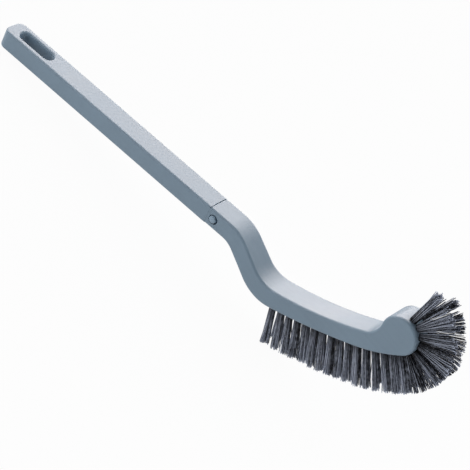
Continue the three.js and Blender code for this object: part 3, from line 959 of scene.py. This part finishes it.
class MakeTufts(bpy.types.Operator):
    """Model filaments with different bends once, and copy them into every tuft of the bed and the fan"""

    bl_idname = "toilet_brush.make_tufts"
    bl_label = "Tufts"

    # Filaments: tip bends in millimetres, stretches, width of the tip, room under the root, tilt of a bend
    bends = (0.0, 0.35, 0.7, 1.1, 1.6)
    segments = 4
    tip_width = 0.9
    root_room = 0.8 * MM
    bend_tilt = 0.3

    # Tufts: bundles, widening of the root along the row, and shares of the length by which ends differ
    bundles = 7
    root_fill = {"bed": 1.0, "fan": 1.15}
    uneven = {"bed": 0.015, "fan": 0.05}
    slant = 0.02
    ragged = 0.008

    # Scatter: radians at the root, then millimetres along the row and across it at the tips
    root_turn = 0.25
    bundle_scatter = 0.3
    strand_scatter = (0.3, 0.25)
    stray_scatter = (1.6, 0.6)
    stray_share = 0.02

    # Tones: dark, pale and the share of pale ones, how they differ, and painted shade at a tuft's edges where
    # shade falls between tufts; the fan's darker strands are painted shade and its pale streaks partly painted
    # highlight, beside random tone
    tones_with_painted_light = {"bed": (0.43, 0.78, 0.22), "fan": (0.1, 0.9, 0.33)}
    bundle_tone = 0.1
    strand_tone = 0.12
    gap_shade_start = 0.65
    painted_gap_shade = 0.9

    def filament(self, context, bend):
        """One filament along z with a bend in millimetres at its tip, and how far each point is along it."""
        tufts = context.scene.brush_tufts
        sink = context.scene.brush_head.tuft_hole_depth - self.root_room
        length = tufts.length + sink
        middle = (0, 0, length / 2 - sink)
        bpy.ops.mesh.primitive_cylinder_add(
            vertices=ROUND_SIDES["strand"], radius=tufts.strand_radius, depth=length, location=middle
        )
        strand = context.active_object
        fix_place(strand)
        levels = [length * i / self.segments - sink for i in range(1, self.segments + 1)]
        edit(strand)
        for level in levels[:-1]:
            bpy.ops.mesh.select_all(action="SELECT")
            bpy.ops.mesh.bisect(plane_co=(0, 0, level), plane_no=(0, 0, 1))
        for i, level in enumerate(levels, 1):
            pick(strand, "verts", lambda point: abs(point.co.z - level) < TOUCH)
            bpy.ops.transform.translate(value=(bend * MM * (i / self.segments) ** 2, 0, 0))
        bpy.ops.transform.resize(value=(self.tip_width, self.tip_width, 1))
        leave()
        along = strand.data.attributes.new("strand_along", "FLOAT", "POINT")
        for vertex in strand.data.vertices:
            along.data[vertex.index].value = (vertex.co.z + sink) / length
        strand.data.attributes.new("strand_tone", "FLOAT", "POINT")
        return strand

    def scatter(self, draws, along, across):
        """A random shift along the row and across it, from its usual size in millimetres."""
        return Vector((draws.gauss(0, along), draws.gauss(0, across))) * MM

    def tuft(self, context, models, draws, place, outwards, part):
        """Copies of the filaments that fill one tuft, in bundles that spread towards the tips."""
        tufts = context.scene.brush_tufts
        root, row, out, lean, tuft_length, opening = place
        side = Vector((0, 1, 0))
        aim = (out - row * math.tan(lean) + side * outwards * math.tan(tufts.row_splay)).normalized()
        slant = draws.uniform(-self.slant, self.slant)
        tuft_length *= 1 - self.uneven[part] * draws.random()
        stray = self.bundle_scatter
        shifts = [self.scatter(draws, stray * opening, stray) for _ in range(self.bundles)]
        shifts_of_tone = [draws.gauss(0, self.bundle_tone) for _ in range(self.bundles)]
        # Painted light: the fan's darker tone and larger share of pale strands stand in for shade and highlights
        # there, on top of random strand tone
        dark, pale, pale_share = self.tones_with_painted_light[part]
        crown = tufts.fan_crown if part == "fan" else tufts.crown
        made = []
        for i in range(tufts.strands):
            reach = math.sqrt((i + 0.5) / tufts.strands)
            angle = i * GOLDEN_ANGLE + draws.uniform(-self.root_turn, self.root_turn)
            along, across = math.cos(angle), math.sin(angle)
            spot = Vector((along * self.root_fill[part], across)) * reach * tufts.root_radius
            bundle = int(angle / (2 * math.pi) * self.bundles) % self.bundles
            tip = Vector((spot.x * (opening - 1), spot.y * (tufts.spread - 1))) + shifts[bundle]
            tip += self.scatter(draws, *self.strand_scatter)
            if draws.random() < self.stray_share:
                tip += Vector([draws.uniform(-far, far) for far in self.stray_scatter]) * MM
            cut = crown * reach**2 + abs(draws.gauss(0, self.ragged))
            length = 1 + slant * spot.x / tufts.root_radius - cut
            way = (aim * tuft_length + row * tip.x + side * tip.y).normalized()
            sideways = way.cross(Vector((along, across, self.bend_tilt))).normalized()
            start = root + row * spot.x + side * spot.y
            turn = frame_at(start, sideways, way.cross(sideways), way)
            turn @= Matrix.Rotation(draws.uniform(0, 2 * math.pi), 4, "Z")
            model = draws.choice(models)
            stretch = length * tuft_length / tufts.length
            laid = LAY @ turn @ Matrix.Diagonal((1, 1, stretch, 1))
            lowest = min((laid @ vertex.co).z for vertex in model.data.vertices)
            if lowest < TOUCH:
                stretch += (TOUCH - lowest) / (tufts.length * (LAY.to_3x3() @ way).z)
            strand = copy_in(model, turn @ Matrix.Diagonal((1, 1, stretch, 1)))
            tone = draws.gauss(pale if draws.random() < pale_share else dark, self.strand_tone)
            # Painted shade: strands near a tuft's edges along the row are darkened, for the shade that falls
            # between tufts
            edge = max(0, abs(along) * reach - self.gap_shade_start)
            tone = min(1.0, max(0.0, tone + shifts_of_tone[bundle] - self.painted_gap_shade * edge))
            values = [tone] * len(strand.data.vertices)
            strand.data.attributes["strand_tone"].data.foreach_set("value", values)
            made.append(strand)
        return made

    def execute(self, context):
        models = [self.filament(context, bend) for bend in self.bends]
        draws = random.Random(context.scene.brush_tufts.seed)
        for side, outwards in ROW_SIDE.items():
            for part, places in tuft_frames(side).items():
                strands = []
                for place in places:
                    strands += self.tuft(context, models, draws, place, outwards, part)
                row = join_all(strands)
                row.name = f"tufts_{side}_{part}"
                nodes, finish = [f"bristles_{side}_{part}"], charcoal_nylon()
                settle(row, "brush_head", nodes, finish, STRAND_SMOOTH_ANGLE, weighted=False)
        for model in models:
            bpy.data.objects.remove(model, do_unlink=True)
        return {"FINISHED"}


class FinishAnchors(bpy.types.Operator):
    """Give the wire anchors behind the tufts their steel finish"""

    bl_idname = "toilet_brush.finish_anchors"
    bl_label = "Tuft anchors"

    def execute(self, context):
        for name, node in frame["nodes"].items():
            if name.startswith("tuft_anchor_"):
                node.data.materials.clear()
                node.data.materials.append(spring_steel())
        return {"FINISHED"}


class MakeStage(bpy.types.Operator):
    """Lay the pale floor, light the brush softly and place the camera"""

    bl_idname = "toilet_brush.make_stage"
    bl_label = "Stage"

    def seen_by(self, add, *rays):
        """One for rays of these kinds, and nothing for the others."""
        kinds = add("ShaderNodeLightPath").outputs
        share = kinds[rays[0]]
        for ray in rays[1:]:
            share = add("ShaderNodeMath", {0: share, 1: kinds[ray]}, operation="MAXIMUM").outputs["Value"]
        return share

    def blend(self, add, tree, share, first, second, end):
        """Ends a tree in two shaders mixed by a share of the second."""
        mixed = add("ShaderNodeMixShader", {"Fac": share, 1: first, 2: second})
        tree.links.new(mixed.outputs["Shader"], tree.nodes[end].inputs["Surface"])

    def floor(self, context):
        """A floor that is nearly plain white where it is seen, and pale where it only sends light back."""
        stage = context.scene.brush_stage
        bpy.ops.mesh.primitive_plane_add(size=FLOOR_SIZE)
        floor = context.active_object
        floor.name = "floor"
        values = {"Base Color": (*stage.floor, 1), "Roughness": 0.9, "Specular IOR Level": 0.1}
        material, add, _ = new_finish("pale_floor", values)
        tree = material.node_tree
        pale = tree.nodes["Principled BSDF"].outputs["BSDF"]
        glow = add("ShaderNodeEmission", {"Color": WHITE, "Strength": 1.0}).outputs["Emission"]
        seen = self.seen_by(add, "Is Camera Ray", "Is Glossy Ray", "Is Transmission Ray")
        share = add("ShaderNodeMath", {0: seen, 1: stage.floor_white}, operation="MULTIPLY").outputs["Value"]
        self.blend(add, tree, share, pale, glow, "Material Output")
        floor.data.materials.append(material)

    def world(self, context):
        """Light from all round, dimmer round the camera, and plain white where it is seen."""
        stage = context.scene.brush_stage
        world = bpy.data.worlds.new("studio")
        context.scene.world = world
        world.use_nodes = True
        tree = world.node_tree
        add = adder(tree)
        way = add("ShaderNodeTexCoord").outputs["Generated"]
        towards = LAY.to_3x3() @ Vector(FRONT_SKY)
        front = add("ShaderNodeVectorMath", {0: way, 1: towards}, operation="DOT_PRODUCT").outputs["Value"]
        strengths = (stage.sky, stage.sky * stage.front_sky)
        strength = spread_out(add, front, FRONT_SKY_FALL, strengths, interpolation_type="SMOOTHSTEP")
        sky = tree.nodes["Background"]
        sky.inputs["Color"].default_value = SKY_COLOUR
        tree.links.new(strength, sky.inputs["Strength"])
        white = add("ShaderNodeBackground", {"Color": WHITE, "Strength": 1.0}).outputs["Background"]
        seen = self.seen_by(add, "Is Camera Ray", "Is Transmission Ray")
        self.blend(add, tree, seen, sky.outputs["Background"], white, "World Output")

    def lamp(self, context, name, power, way, distance, size):
        """A softbox that looks at the middle of the brush from a direction in the frame of the seam."""
        ahead = Vector(way).normalized()
        across = Vector((0, 1, 0)).cross(ahead).normalized()
        bpy.ops.object.light_add(type="AREA")
        lamp = context.active_object
        lamp.name = name
        lamp.matrix_world = LAY @ frame_at(ahead * distance, across, ahead.cross(across), ahead)
        lamp.visible_camera = False
        lamp.data.shape = "RECTANGLE"
        lamp.data.size, lamp.data.size_y = size
        lamp.data.energy = power
        return lamp

    def camera(self, context):
        """The camera at the photograph's place."""
        back = CAMERA_DOWN.cross(CAMERA_RIGHT)
        bpy.ops.object.camera_add()
        camera = context.active_object
        camera.matrix_world = LAY @ frame_at(CAMERA_PLACE, CAMERA_RIGHT, -CAMERA_DOWN, back)
        camera.data.sensor_width = CAMERA_SENSOR
        camera.data.lens = context.scene.brush_stage.lens
        camera.data.clip_end = CAMERA_REACH
        context.scene.camera = camera

    def execute(self, context):
        stage = context.scene.brush_stage
        self.floor(context)
        self.world(context)
        softbox = self.lamp(context, "softbox", stage.softbox, **SOFTBOX)
        softbox.visible_glossy = False
        fill = self.lamp(context, "fill", stage.fill, **FILL)
        fill.visible_glossy = False
        panel = self.lamp(context, "panel", stage.panel, **PANEL)
        panel.data.color = PANEL_COLOUR
        panel.visible_diffuse = False
        self.camera(context)
        context.scene.view_settings.view_transform = "Standard"
        return {"FINISHED"}


class BrushPanel(bpy.types.Panel):
    """Lists the settings and the steps of the toilet brush"""

    bl_idname = "VIEW3D_PT_toilet_brush"
    bl_label = "Toilet Brush"
    bl_space_type = "VIEW_3D"
    bl_region_type = "UI"
    bl_category = "Toilet Brush"

    def draw(self, context):
        for name in SETTINGS:
            group = getattr(context.scene, name)
            box = self.layout.box()
            for key in group.__annotations__:
                box.prop(group, key)
        for step in STEPS:
            self.layout.operator(step.bl_idname)


SETTINGS = {
    "brush_handle": HandleSettings,
    "brush_head": HeadSettings,
    "brush_tufts": TuftSettings,
    "brush_finish": FinishSettings,
    "brush_stage": StageSettings,
}
STEPS = (MakeHandle, MakeHead, MakeButton, MakeClip, MakeTufts, FinishAnchors, MakeStage)
CLASSES = (*SETTINGS.values(), *STEPS, BrushPanel)


def register():
    for each in CLASSES:
        bpy.utils.register_class(each)
    for name, group in SETTINGS.items():
        setattr(bpy.types.Scene, name, PointerProperty(type=group))


def unregister():
    for name in SETTINGS:
        delattr(bpy.types.Scene, name)
    for each in reversed(CLASSES):
        bpy.utils.unregister_class(each)


def main():
    """Makes the brush and its stage."""
    register()
    bpy.ops.toilet_brush.make_handle()
    bpy.ops.toilet_brush.make_head()
    bpy.ops.toilet_brush.make_button()
    bpy.ops.toilet_brush.make_clip()
    bpy.ops.toilet_brush.make_tufts()
    bpy.ops.toilet_brush.finish_anchors()
    bpy.ops.toilet_brush.make_stage()


if __name__ == "__main__":
    main()
